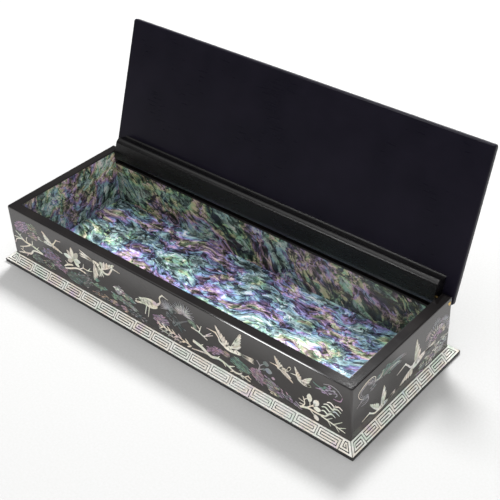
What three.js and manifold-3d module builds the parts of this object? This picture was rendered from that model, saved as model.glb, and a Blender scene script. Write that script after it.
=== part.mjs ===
// Lacquered pen box: mitred walls on a flared plinth, a pearl key border let into the plinth,
// a lining of abalone veneer, and a lid that turns on two brass pins through a rounded rail.
// Millimetres. X runs along the box, Y from front to back and Z up.
// The origin is the centre of the underside. The lid stands open, leaning back on its stop.

import * as THREE from 'three';
import { mergeVertices } from 'three/addons/utils/BufferGeometryUtils.js';
import Module from 'manifold-3d';

const wasm = await Module();
wasm.setup();

// Walls
const bodyLength = 240; // outside of the walls along X
const bodyDepth = 84; // outside of the walls along Y
const rimHeight = 38.6; // top of the front and side walls
const wallThickness = 5.6;
const cornerRadius = 1.2; // upright corners of the body
const rimRadius = 0.9; // outer edge of the rim
const arris = 0.4; // small bevels on the inner rim and on the back wall

// Floor board, let into a groove round the walls, and the felt under it
const boardThickness = 2.5;
const grooveDepth = 2.2;
const grooveSlack = 0.2; // above the board
const boardEdgeGap = 0.4; // between the board's edge and the bottom of the groove
const feltThickness = 1.0;
const feltEdgeGap = 0.6; // between the felt and the walls

// Abalone lining
const liningThickness = 0.4;
const liningDrop = 0.5; // from the top of a wall down to its lining
const liningGap = 0.1; // round the floor lining

// Plinth
const plinthHeight = 6.4;
const plinthFlare = 4.8; // how far its foot stands out from the wall
const lipHeight = 1.8; // upright edge under the slope
const rebateFromLip = 0.2; // dark edge left below the border, along the slope
const rebateDepth = 0.4; // the bed under the border runs on up to the wall

// Pearl key border
const pearlThickness = 0.3; // its face lies flush with the slope of the plinth
const pearlGap = 0.08; // between the pearl and the dark edge
const pearlFromWall = 0.36; // along the slope
const mitreGap = 0.4; // from the end of each strip to the mitre line of the plinth
const keyLine = 0.5; // width of a cut line
const keyBorder = 1.05; // from the strip's edges to the middle of the first line
const keyPitch = 1.5; // between lines along the strip
const keyEntry = 1.6; // from the line that links two keys to the nearest side of each
const keyBar = 0.7; // half the pearl bar between the backs of two keys
const cornerBar = 1.6; // pearl left beside a mitre
const cornerPitch = 1.3; // between lines beside a mitre
const shortestRun = 0.5; // a shorter innermost run is left out
const keyRunOfLength = 13.6; // about; the run between the corner keys is shared out evenly
const keyRunOfDepth = 11.6;
const cornerKeyOfLength = 8.6; // run of the mitred keys that end a long strip, at the lip
const cornerKeyOfDepth = 11.7; // the same on a short strip

// Lid and hinge
const lidThickness = 3.4;
const lidCornerRadius = 1.4;
const lidEdgeRadius = 0.8;
const lidGap = 0.3; // between the closed lid and the rim
const openAngle = THREE.MathUtils.degToRad(108.8); // from closed to leaning on the stop
const stopGap = 0.3; // between the open lid's rear edge and the back of the side walls
const pinSetback = 2.5; // from the back of the box to the pins
const pinRadius = 1.1;
const pinSeat = 0.03; // radial clearance in the walls, which hold the pins
const pinFit = 0.08; // radial clearance in the rail, which turns on them
const pinReach = 9; // length of pin inside the rail
const pinDome = 0.35; // height of the pin's rounded end, which stands out of the wall
const boreSlack = 0.6; // beyond the end of the pin
const railDepth = 8.0; // from the lid's underside
const railWidth = 13.2; // from the rear edge of the lid
const railSetIn = 0.3; // rear of the rail from the rear edge of the lid
const railNose = 3.0; // radius of the rail's front lower edge
const railCove = 0.9; // small hollow where the rail meets the lid
const railEndGap = 0.9; // at each end, inside the lining
const railBedGap = 0.15; // between the rail and the lid
const railClearance = 0.3; // between the turning rail and the back wall

// Worked out from the sizes above
const boardBottom = feltThickness;
const boardTop = boardBottom + boardThickness;
const lidUnderside = rimHeight + lidGap;
const pinY = bodyDepth / 2 - pinSetback;
// The lid's rounded lower rear edge swings round the pins and comes to rest behind the box.
const edgeSetback = pinSetback - lidEdgeRadius;
const stopReach = pinSetback + stopGap + lidEdgeRadius - edgeSetback * Math.cos(openAngle);
const pinToLid = stopReach / Math.sin(openAngle) - lidEdgeRadius;
const pinZ = lidUnderside - pinToLid;
const rimAbovePin = rimHeight - pinZ;
const railBelowPin = railDepth - pinToLid;
const backHeight = pinZ - railBelowPin - railClearance;
const innerHalfLength = bodyLength / 2 - wallThickness;
const innerHalfDepth = bodyDepth / 2 - wallThickness;
const slopeAngle = Math.atan2(plinthHeight - lipHeight, plinthFlare);
const slopeLength = Math.hypot(plinthHeight - lipHeight, plinthFlare);
const bedTop = plinthHeight - rebateDepth / Math.cos(slopeAngle); // where the bed meets the wall
const pearlWidth = slopeLength - rebateFromLip - pearlGap - pearlFromWall;

// Finishes
const finishes = {
  lacquer: { color: 0x17151a, roughness: 0.18, metalness: 0 },
  lidLacquer: { color: 0x18151f, roughness: 0.3, metalness: 0 },
  pearl: { color: 0xe6e1d3, roughness: 0.25, metalness: 0 },
  abalone: { color: 0x5d7f86, roughness: 0.2, metalness: 0.1 },
  board: { color: 0x241d1a, roughness: 0.6, metalness: 0 },
  felt: { color: 0x1b1b1d, roughness: 0.95, metalness: 0 },
  brass: { color: 0xc9a75a, roughness: 0.3, metalness: 1 },
};

const box = new THREE.Group();

function addPiece(parent, name, geometry, finish) {
  const mesh = new THREE.Mesh(geometry, new THREE.MeshStandardMaterial(finishes[finish]));
  mesh.name = name;
  parent.add(mesh);
  return mesh;
}

// Booleans

function toSolid(geometry) {
  const bare = geometry.clone();
  bare.deleteAttribute('normal');
  bare.deleteAttribute('uv');
  const merged = mergeVertices(bare, 1e-4);
  return new wasm.Manifold(new wasm.Mesh({
    numProp: 3,
    vertProperties: new Float32Array(merged.attributes.position.array),
    triVerts: new Uint32Array(merged.index.array),
  }));
}

function toGeometry(solid) {
  const mesh = solid.getMesh();
  const indexed = new THREE.BufferGeometry();
  indexed.setAttribute('position', new THREE.BufferAttribute(mesh.vertProperties, 3));
  indexed.setIndex(new THREE.BufferAttribute(mesh.triVerts, 1));
  const geometry = indexed.toNonIndexed();
  geometry.computeVertexNormals();
  return geometry;
}

// Shapes and prisms

function outline(points) {
  return new THREE.Shape(points.map(([a, b]) => new THREE.Vector2(a, b)));
}

function rectangle(halfX, halfY) {
  return outline([[-halfX, -halfY], [halfX, -halfY], [halfX, halfY], [-halfX, halfY]]);
}

function roundedRectangle(halfX, halfY, radius) {
  const x = halfX - radius;
  const y = halfY - radius;
  const quarter = Math.PI / 2;
  const shape = new THREE.Shape();
  shape.absarc(x, -y, radius, -quarter, 0);
  shape.absarc(x, y, radius, 0, quarter);
  shape.absarc(-x, y, radius, quarter, 2 * quarter);
  shape.absarc(-x, -y, radius, 2 * quarter, 3 * quarter);
  return shape;
}

function upright(shape, bottom, top) {
  const geometry = new THREE.ExtrudeGeometry(shape, {
    depth: top - bottom,
    bevelEnabled: false,
    curveSegments: 4,
  });
  return geometry.translate(0, 0, bottom);
}

// A profile drawn in Y and Z, run along X.
const profileToX = new THREE.Matrix4().set(
  0, 0, 1, 0,
  1, 0, 0, 0,
  0, 1, 0, 0,
  0, 0, 0, 1,
);

function alongX(profile, halfLength, curveSegments = 6) {
  const geometry = new THREE.ExtrudeGeometry(profile, {
    depth: 2 * halfLength,
    bevelEnabled: false,
    curveSegments,
  });
  return geometry.translate(0, 0, -halfLength).applyMatrix4(profileToX);
}

// A plate or block whose rims are rounded all the way round.
function softEdged(shape, bottom, top, radius) {
  const geometry = new THREE.ExtrudeGeometry(shape, {
    depth: top - bottom - 2 * radius,
    bevelThickness: radius,
    bevelSize: radius,
    bevelOffset: -radius,
    bevelSegments: 3,
    curveSegments: 3,
  });
  return geometry.translate(0, 0, bottom + radius);
}

// The four sides. Each is drawn as if it were the front, facing -Y, and its group is turned
// into place. rearEnd is the end of a side wall that meets the back, +1 or -1 along X.

const sides = [
  { name: 'front', turn: 0, long: true, rearEnd: 0 },
  { name: 'right', turn: Math.PI / 2, long: false, rearEnd: 1 },
  { name: 'back', turn: Math.PI, long: true, rearEnd: 0 },
  { name: 'left', turn: -Math.PI / 2, long: false, rearEnd: -1 },
];

for (const side of sides) {
  side.half = (side.long ? bodyLength : bodyDepth) / 2; // half its length
  side.face = -(side.long ? bodyDepth : bodyLength) / 2; // Y of its outer face
  side.top = side.name === 'back' ? backHeight : rimHeight;
  side.group = new THREE.Group();
  side.group.rotation.z = side.turn;
  box.add(side.group);
}

// The space between the two mitre planes of a side, wide enough for wall and plinth.
function mitredSpace(side, bottom, top) {
  const out = 2 * plinthFlare;
  const deep = 2 * wallThickness;
  return toSolid(upright(outline([
    [-side.half - out, side.face - out],
    [side.half + out, side.face - out],
    [side.half - deep, side.face + deep],
    [-side.half + deep, side.face + deep],
  ]), bottom, top));
}

// Above the low back wall, a side wall runs on square to the back of the box.
function squareEndedSpace(side, bottom, top) {
  const deep = 2 * wallThickness;
  const rear = side.rearEnd;
  const frontEnd = -rear * side.half;
  const corners = [
    [rear * side.half, side.face],
    [rear * side.half, side.face + deep],
    [frontEnd + rear * deep, side.face + deep],
    [frontEnd, side.face],
  ];
  return toSolid(upright(outline(rear > 0 ? corners : corners.reverse()), bottom, top));
}

// Walls

function wallProfile(side) {
  const outer = side.face;
  const inner = outer + wallThickness;
  const outerArris = side.name === 'back' ? arris : 0;
  const points = [
    [outer, 0],
    [inner, 0],
    [inner, boardBottom],
    [inner - grooveDepth, boardBottom],
    [inner - grooveDepth, boardTop + grooveSlack],
    [inner, boardTop + grooveSlack],
    [inner, side.top - arris],
    [inner - arris, side.top],
    [outer + outerArris, side.top],
  ];
  if (outerArris > 0) points.push([outer, side.top - outerArris]);
  return outline(points);
}

// The top rear corner of a side wall is round about the pin, so that the lid swings clear of it.
function rearRounding(side) {
  const rear = side.rearEnd;
  const round = new THREE.CylinderGeometry(rimAbovePin, rimAbovePin, 4 * wallThickness, 48);
  const corner = new THREE.BoxGeometry(2 * rimAbovePin, 4 * wallThickness, 2 * rimAbovePin);
  corner.translate(rear * (pinY + rimAbovePin), side.face, pinZ + rimAbovePin);
  round.translate(rear * pinY, side.face, pinZ);
  return toSolid(corner).subtract(toSolid(round));
}

function pinHole(side) {
  const radius = pinRadius + pinSeat;
  const hole = new THREE.CylinderGeometry(radius, radius, 4 * wallThickness, 24);
  return toSolid(hole.translate(side.rearEnd * pinY, side.face, pinZ));
}

// The body's corners are rounded down to the plinth, and square behind it.
function bodyEnvelope(side) {
  const across = -side.face;
  const rounded = softEdged(
    roundedRectangle(side.half, across, cornerRadius), 0, rimHeight, rimRadius,
  );
  return toSolid(rounded).add(toSolid(upright(rectangle(side.half, across), 0, bedTop)));
}

for (const side of sides) {
  let space = mitredSpace(side, -rimRadius, side.rearEnd ? backHeight : 2 * rimHeight);
  if (side.rearEnd) space = space.add(squareEndedSpace(side, backHeight, 2 * rimHeight));
  let wall = toSolid(alongX(wallProfile(side), side.half)).intersect(space);
  wall = wall.intersect(bodyEnvelope(side));
  if (side.rearEnd) wall = wall.subtract(rearRounding(side)).subtract(pinHole(side));
  addPiece(side.group, `${side.name}_wall`, toGeometry(wall), 'lacquer');
}

// Floor board and felt

const boardReach = grooveDepth - boardEdgeGap;
addPiece(box, 'floor_board', upright(
  rectangle(innerHalfLength + boardReach, innerHalfDepth + boardReach), boardBottom, boardTop,
), 'board');

addPiece(box, 'base_felt', upright(
  roundedRectangle(innerHalfLength - feltEdgeGap, innerHalfDepth - feltEdgeGap, 2 * feltThickness),
  0, feltThickness,
), 'felt');

// Abalone lining: the long sides run through, the short ones fit between them.

const liningHalfLength = innerHalfLength - liningThickness;
const liningHalfDepth = innerHalfDepth - liningThickness;

for (const side of sides) {
  const inner = side.face + wallThickness;
  const halfRun = side.long ? innerHalfLength : liningHalfDepth;
  const sheet = outline([
    [-halfRun, inner],
    [halfRun, inner],
    [halfRun, inner + liningThickness],
    [-halfRun, inner + liningThickness],
  ]);
  addPiece(side.group, `${side.name}_lining`, upright(sheet, boardTop, side.top - liningDrop), 'abalone');
}

addPiece(box, 'floor_lining', upright(
  rectangle(liningHalfLength - liningGap, liningHalfDepth - liningGap),
  boardTop, boardTop + liningThickness,
), 'abalone');

// Plinth: a point is given by its distance up the slope from the lip and its height above it.

function slopePoint(side, up, height) {
  const cos = Math.cos(slopeAngle);
  const sin = Math.sin(slopeAngle);
  return [
    side.face - plinthFlare + up * cos - height * sin,
    lipHeight + up * sin + height * cos,
  ];
}

function plinthProfile(side) {
  return outline([
    [side.face - plinthFlare, 0],
    [side.face, 0],
    [side.face, bedTop],
    slopePoint(side, rebateFromLip, -rebateDepth),
    slopePoint(side, rebateFromLip, 0),
    [side.face - plinthFlare, lipHeight],
  ]);
}

for (const side of sides) {
  const moulding = toSolid(alongX(plinthProfile(side), side.half + 2 * plinthFlare));
  const space = mitredSpace(side, -rimRadius, 2 * plinthHeight);
  addPiece(side.group, `${side.name}_plinth`, toGeometry(moulding.intersect(space)), 'lacquer');
}

// Key border. Each strip is drawn flat: run along the side, rise up the slope from its lower edge.
// A saw cut enters at every second division, and winds into the key on each side of it.

// The outline of a cut of constant width along an open line, with mitred corners.
function cutOutline(line, width) {
  const last = line.length - 1;
  const headings = [];
  for (let i = 0; i < last; i += 1) headings.push(line[i + 1].clone().sub(line[i]).normalize());
  const leftOf = (heading) => new THREE.Vector2(-heading.y, heading.x);
  const edge = (hand) => line.map((point, i) => {
    const before = headings[Math.max(i - 1, 0)];
    const after = headings[Math.min(i, last - 1)];
    const mitre = leftOf(before).add(leftOf(after)).normalize();
    const reach = (hand * width) / 2 / mitre.dot(leftOf(before));
    const moved = point.clone().addScaledVector(mitre, reach);
    if (i === 0) moved.addScaledVector(after, -width / 2);
    if (i === last) moved.addScaledVector(before, width / 2);
    return moved;
  });
  return new THREE.Shape([...edge(-1), ...edge(1).reverse()]);
}

// One key: the line runs from the division it starts at to the far side and winds inwards.
// near and far give the run of those two boundaries at a rise, and facing is +1 or -1.
function keyLinePoints(key) {
  const levelPitch = (pearlWidth - 2 * keyBorder) / 3;
  const levels = [0, 1, 2, 3].map((i) => keyBorder + i * levelPitch);
  if (key.facing < 0) levels.reverse();
  const [outer, second, third, top] = levels;
  const near = (rise, inset) => key.near(rise) + key.facing * inset;
  const far = (rise, inset) => key.far(rise) - key.facing * (inset + key.backBar);
  const points = [
    [key.near(outer), outer],
    [far(outer, 0), outer],
    [far(top, 0), top],
    [near(top, keyEntry), top],
    [near(second, keyEntry), second],
    [far(second, key.pitch), second],
    [far(third, key.pitch), third],
  ];
  const innerEnd = near(third, keyEntry + key.pitch);
  if (key.facing * (far(third, key.pitch) - innerEnd) > shortestRun) points.push([innerEnd, third]);
  return points.map(([run, rise]) => new THREE.Vector2(run, rise));
}

function keyStrip(side) {
  const cornerKey = side.long ? cornerKeyOfLength : cornerKeyOfDepth;
  const aimedRun = side.long ? keyRunOfLength : keyRunOfDepth;
  const taper = Math.cos(slopeAngle); // how fast the strip shortens up the slope
  const foot = plinthFlare - (rebateFromLip + pearlGap) * taper;
  const endAt = (rise) => side.half + foot - rise * taper - mitreGap;
  const strip = outline([
    [-endAt(0), 0],
    [endAt(0), 0],
    [endAt(pearlWidth), pearlWidth],
    [-endAt(pearlWidth), pearlWidth],
  ]);
  const firstDivision = -(side.half + foot) + cornerKey;
  const count = Math.round((-2 * firstDivision) / aimedRun);
  const keyRun = (-2 * firstDivision) / count;
  const division = (i) => firstDivision + i * keyRun;
  const deep = 4 * pearlThickness;

  const cuts = [];
  for (let i = -1; i <= count; i += 1) {
    const facing = (count - i) % 2 === 0 ? 1 : -1;
    const left = i < 0 ? (rise) => -endAt(rise) : () => division(i);
    const right = i === count ? endAt : () => division(i + 1);
    const key = { facing, pitch: keyPitch, backBar: keyBar };
    key.near = facing > 0 ? left : right;
    key.far = facing > 0 ? right : left;
    if (i < 0 || i === count) key.pitch = cornerPitch;
    if (facing > 0 ? i === count : i < 0) key.backBar = cornerBar;
    cuts.push(keyLinePoints(key));
    if (facing > 0 && i >= 0) {
      const entry = division(i);
      const highest = pearlWidth - keyBorder;
      cuts.push([new THREE.Vector2(entry, -keyBorder), new THREE.Vector2(entry, highest)]);
    }
  }
  return cuts.reduce(
    (plate, line) => plate.subtract(toSolid(upright(cutOutline(line, keyLine), -deep, deep))),
    toSolid(upright(strip, -pearlThickness, 0)),
  );
}

for (const side of sides) {
  const strip = addPiece(side.group, `${side.name}_key_border`, toGeometry(keyStrip(side)), 'pearl');
  const [y, z] = slopePoint(side, rebateFromLip + pearlGap, 0);
  strip.position.set(0, y, z);
  strip.rotation.x = slopeAngle;
}

// Pins: driven in through the side walls, with a rounded end outside.

function pinGeometry() {
  const inside = -(wallThickness + liningThickness + railEndGap + pinReach);
  const profile = [new THREE.Vector2(0, inside), new THREE.Vector2(pinRadius, inside)];
  const steps = 4;
  for (let i = 0; i <= steps; i += 1) {
    const turn = (i / steps) * (Math.PI / 2);
    profile.push(new THREE.Vector2(pinRadius * Math.cos(turn), pinDome * Math.sin(turn)));
  }
  profile[profile.length - 1].x = 0;
  return new THREE.LatheGeometry(profile, 24);
}

for (const [name, end] of [['left_hinge_pin', -1], ['right_hinge_pin', 1]]) {
  const pin = addPiece(box, name, pinGeometry(), 'brass');
  pin.position.set(end * (bodyLength / 2), pinY, pinZ);
  pin.rotation.z = -end * (Math.PI / 2);
}

// Lid, drawn closed about the pins and swung open with its group

const lid = new THREE.Group();
lid.position.set(0, pinY, pinZ);
lid.rotation.x = -openAngle;
box.add(lid);

const lidPlate = softEdged(
  roundedRectangle(bodyLength / 2, bodyDepth / 2, lidCornerRadius),
  pinToLid, pinToLid + lidThickness, lidEdgeRadius,
);
addPiece(lid, 'lid_panel', lidPlate.translate(0, -pinY, 0), 'lidLacquer');

function railProfile() {
  const top = pinToLid - railBedGap;
  const rear = pinSetback - railSetIn;
  const front = pinSetback - railWidth;
  const bottom = -railBelowPin;
  const shape = new THREE.Shape();
  // The lower rear edge is round the pin, so that it turns clear of the back wall.
  const rearTurn = -Math.acos(rear / railBelowPin);
  shape.moveTo(rear, top);
  shape.lineTo(front - railCove, top);
  shape.absarc(front - railCove, top - railCove, railCove, Math.PI / 2, 0, true);
  shape.lineTo(front, bottom + railNose);
  shape.absarc(front + railNose, bottom + railNose, railNose, Math.PI, 1.5 * Math.PI);
  shape.absarc(0, 0, railBelowPin, -Math.PI / 2, rearTurn);
  return shape;
}

const railHalf = innerHalfLength - liningThickness - railEndGap;
const boreDepth = pinReach + boreSlack;
let rail = toSolid(alongX(railProfile(), railHalf));
for (const end of [-1, 1]) {
  const radius = pinRadius + pinFit;
  const bore = new THREE.CylinderGeometry(radius, radius, 2 * boreDepth, 24);
  rail = rail.subtract(toSolid(bore.rotateZ(Math.PI / 2).translate(end * railHalf, 0, 0)));
}
addPiece(lid, 'hinge_rail', toGeometry(rail), 'lacquer');

export default box;
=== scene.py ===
import math
import random

import bmesh
import bpy
from mathutils import Matrix, Vector
from mathutils.geometry import tessellate_polygon


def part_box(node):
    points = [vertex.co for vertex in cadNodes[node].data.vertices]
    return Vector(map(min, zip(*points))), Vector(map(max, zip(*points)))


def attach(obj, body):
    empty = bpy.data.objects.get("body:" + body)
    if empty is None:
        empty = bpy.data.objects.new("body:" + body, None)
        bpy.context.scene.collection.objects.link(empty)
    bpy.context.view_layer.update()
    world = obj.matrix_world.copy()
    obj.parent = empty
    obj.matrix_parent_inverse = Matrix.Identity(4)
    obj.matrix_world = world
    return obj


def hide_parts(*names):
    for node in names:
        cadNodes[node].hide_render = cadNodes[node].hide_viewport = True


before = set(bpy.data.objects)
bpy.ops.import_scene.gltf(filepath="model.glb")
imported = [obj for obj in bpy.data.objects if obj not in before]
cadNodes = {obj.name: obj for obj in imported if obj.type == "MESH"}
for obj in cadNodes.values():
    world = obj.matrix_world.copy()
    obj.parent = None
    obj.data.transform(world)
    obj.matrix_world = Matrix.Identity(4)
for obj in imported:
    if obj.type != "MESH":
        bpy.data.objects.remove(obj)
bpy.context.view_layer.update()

# A lacquered pen box inlaid with mother-of-pearl. Metres; the drawings are in millimetres.
mm = 0.001
scene = bpy.context.scene


def linearColour(code):
    # sRGB hex to the linear values that the shaders take
    values = [int(code[i:i + 2], 16) / 255 for i in (1, 3, 5)]
    return tuple(v / 12.92 if v <= 0.04045 else ((v + 0.055) / 1.055) ** 2.4 for v in values) + (1.0,)


def feed(node, inputs):
    # a node or a socket is linked; any other value is set on the input itself
    for name, value in inputs.items():
        if isinstance(value, bpy.types.Node):
            value = value.outputs[0]
        if isinstance(value, bpy.types.NodeSocket):
            node.id_data.links.new(value, node.inputs[name])
        else:
            node.inputs[name].default_value = value


def addNode(tree, kind, inputs=None, stops=(), **settings):
    # one node with its inputs, as values or links, the stops of its ramp, and its settings
    node = tree.nodes.new(kind if "Node" in kind else "ShaderNode" + kind)
    for name, value in settings.items():
        setattr(node, name, value)
    if stops:
        elements = node.color_ramp.elements
        while len(elements) < len(stops):
            elements.new(0.5)
        for element, (position, colour) in zip(elements, stops):
            element.position = position
            element.color = linearColour(colour) if isinstance(colour, str) else (colour,) * 3 + (1,)
    feed(node, inputs or {})
    return node


def newMaterial(name):
    material = bpy.data.materials.new(name)
    material.use_nodes = True
    tree = material.node_tree
    shader = next(n for n in tree.nodes if n.type == "BSDF_PRINCIPLED")
    return material, tree, shader, addNode(tree, "TexCoord").outputs


# Camera, floor and lights
print("camera, floor and lights")
viewSizes = {
    # a camera fitted to the photograph's corners; angles in degrees
    "place": (0.31224, -0.32046, 0.36738),
    "yaw": 41.562,
    "pitch": 36.426,
    "roll": -2.332,
    "lens": 75.664,
    "shift": (-0.0081, -0.0053),
    "clipStart": 0.01,
}
lightSizes = {
    "floorHalf": 3.0,
    "keyPlace": (-0.24, 0.60, 0.98),  # behind and to the left, so that the shadow comes forward
    "keySize": 0.24,
    "keyPower": 19.0,
    "fillPlace": (0.74, -0.74, 0.34),  # low in front, for the upright faces
    "fillSize": 0.56,
    "fillPower": 4.4,
    "edgePlace": (-0.40, -0.69, 0.59),  # small, so that the polished edges catch a thin bright line
    "edgeSize": 0.13,
    "edgePower": 1.35,
    # by height: a wide soft light overhead
    "skyStops": [(0.0, 0.05), (0.62, 0.07), (0.74, 0.16), (0.86, 0.80), (1.0, 1.0)],
    "skyStrength": 2.3,
    # the low sky is pale, but dark in front, where the open lid and the rail mirror it
    "backdrop": 0.25,
    "backdropTop": 0.32,
    "backdropFront": (-0.72, -0.3),
}

cameraData = bpy.data.cameras.new("camera")
cameraData.lens = viewSizes["lens"]
cameraData.shift_x, cameraData.shift_y = viewSizes["shift"]
cameraData.clip_start = viewSizes["clipStart"]
camera = bpy.data.objects.new("camera", cameraData)
camera.matrix_world = (
    Matrix.Translation(viewSizes["place"])
    @ Matrix.Rotation(math.radians(viewSizes["yaw"]), 4, "Z")
    @ Matrix.Rotation(math.radians(90 - viewSizes["pitch"]), 4, "X")
    @ Matrix.Rotation(math.radians(viewSizes["roll"]), 4, "Z")
)
scene.collection.objects.link(camera)
scene.camera = camera
scene.view_settings.view_transform = "Standard"

half = lightSizes["floorHalf"]
floorMesh = bpy.data.meshes.new("floor")
corners = [(-half, -half, 0), (half, -half, 0), (half, half, 0), (-half, half, 0)]
floorMesh.from_pydata(corners, [], [(0, 1, 2, 3)])
floor = bpy.data.objects.new("floor", floorMesh)
scene.collection.objects.link(floor)

# Pale grey card, matt: a paper ground that takes a soft shadow and gives no gloss back. The
# lights bring it up to white, so that the shell in the box gets enough light as well.
paleCard, tree, shader, coords = newMaterial("Card pale grey matt")
grain = addNode(tree, "TexNoise", {"Vector": coords["Object"], "Scale": 900.0, "Detail": 3.0})
tint = addNode(tree, "ValToRGB", {"Fac": grain}, stops=[(0.3, "#b3b3b2"), (0.7, "#b7b7b7")])
feed(shader, {"Base Color": tint, "Roughness": 0.95, "Specular IOR Level": 0.1})
floorMesh.materials.append(paleCard)

for name in ("key", "fill", "edge"):
    data = bpy.data.lights.new(name + "_softbox", "AREA")
    data.size = lightSizes[name + "Size"]
    data.energy = lightSizes[name + "Power"]
    light = bpy.data.objects.new(name + "_softbox", data)
    light.location = lightSizes[name + "Place"]
    light.rotation_euler = (-light.location).to_track_quat("-Z", "Y").to_euler()
    scene.collection.objects.link(light)

world = bpy.data.worlds.new("studio")
scene.world = world
world.use_nodes = True
tree = world.node_tree
direction = addNode(tree, "SeparateXYZ", {"Vector": addNode(tree, "TexCoord").outputs["Generated"]}).outputs
sky = addNode(tree, "ValToRGB", {"Fac": direction["Z"]}, stops=lightSizes["skyStops"])
front, back = lightSizes["backdropFront"]
aside = addNode(tree, "MapRange", {"Value": direction["Y"], "From Min": front, "From Max": back},
                interpolation_type="SMOOTHSTEP")
low = addNode(tree, "MapRange", {
    "Value": direction["Z"], "From Min": lightSizes["backdropTop"], "From Max": 0.0,
    "To Max": lightSizes["backdrop"]}, interpolation_type="SMOOTHSTEP")
pale = addNode(tree, "Math", {0: low, 1: aside, 2: sky}, operation="MULTIPLY_ADD")
background = next(n for n in tree.nodes if n.type == "BACKGROUND")
feed(background, {"Color": pale, "Strength": lightSizes["skyStrength"]})


# Finishes
print("finishes")


lacquerSizes = {
    "cloud": 45.0,                   # changes a metre: clouds about 22 mm across
    "marks": (120.0, 900.0, 900.0),  # rubbing marks 8 mm long and 1 mm wide
    "spread": (0.6, 1.4),            # both together, from the smoothest to the roughest spot
    "upright": (0.1, 0.6),           # how far a face leans, from upright to a rim
}


def lacquer(name, deep, worn, roughness, smear, specular, paintedReflection=None):
    # Lacquer over wood, rubbed down and polished: deep black with a soft mirror, slightly
    # cloudy, with faint rubbing marks a few millimetres long.
    material, tree, shader, coords = newMaterial(name)
    place = coords["Object"]
    cloud = addNode(tree, "TexNoise", {"Vector": place, "Scale": lacquerSizes["cloud"], "Detail": 4.0})
    rubbed = addNode(tree, "Mapping", {"Vector": place, "Scale": lacquerSizes["marks"]})
    marks = addNode(tree, "TexNoise", {"Vector": rubbed, "Scale": 1.0, "Detail": 2.0})
    base = addNode(tree, "ValToRGB", {"Fac": cloud}, stops=[(0.35, deep), (0.75, worn)]).outputs[0]
    both = addNode(tree, "Math", {0: cloud, 1: marks}, operation="ADD")
    smooth, coarse = lacquerSizes["spread"]
    rough = addNode(tree, "MapRange", {"Value": both, "From Min": smooth, "From Max": coarse,
                                       "To Min": roughness - smear, "To Max": roughness + smear})
    if paintedReflection:
        # painted reflection: the upright faces are painted a paler grey than the rims, standing in for the
        # bright floor that they mirror
        facing = addNode(tree, "SeparateXYZ", {"Vector": coords["Normal"]}).outputs["Z"]
        level = addNode(tree, "Math", {0: facing}, operation="ABSOLUTE")
        low, high = lacquerSizes["upright"]
        upright = addNode(tree, "MapRange", {"Value": level, "From Min": low, "From Max": high,
                                             "To Min": 1.0, "To Max": 0.0})
        base = addNode(tree, "Mix", {0: upright, 6: base, 7: linearColour(paintedReflection)}, data_type="RGBA").outputs[2]
    feed(shader, {"Base Color": base, "Roughness": rough, "Specular IOR Level": specular})
    return material


abaloneSizes = {
    # noises: vector, changes in one streak's width, detail, roughness, distortion
    "noises": {
        "bands": ("drawn", 0.09, 2.0, 0.5, 0.0), "streaks": ("drawn", 0.34, 3.0, 0.6, 0.6),
        "slivers": ("drawn", 1.4, 3.0, 0.7, 0.2), "flecks": ("wavy", 0.42, 2.0, 0.6, 0.0),
        "heaps": ("ragged", 0.11, 2.0, 0.5, 0.4), "hues": ("drawn", 0.075, 3.0, 0.5, 0.0),
        "ridges": ("drawn", 0.28, 4.0, 0.6, 0.0)},
    "waves": ((0.022, 22.0), (0.09, 5.0)),  # slow and quick bends of the streaks: scale, amount
    "ragged": (0.5, 2.4),                   # the same for the edges of flakes and layers
    "layers": 9.0,
    "leaf": 0.30,
    "flake": 0.78,
    "shade": [(0.0, 0.03), (0.2, 0.09), (0.42, 0.26), (0.6, 0.50), (0.8, 0.85), (1.0, 0.98)],
    "hue": [(0.0, "#c0d2d8"), (0.09, "#a0d3cc"), (0.19, "#aedcba"), (0.29, "#d8e0b6"), (0.39, "#eedfce"),
            (0.48, "#e5c2e0"), (0.56, "#c6a8e8"), (0.65, "#a8acec"), (0.75, "#9cc6e6"), (0.86, "#aed4db"),
            (1.0, "#c0d2d8")],
    "glint": (2.01, 2.14, 0.85),  # tones between which the brightest spots come in, and their share
    "seam": (0.003, 0.02, 0.8),   # the same by the distance from a seam's middle
}


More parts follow.
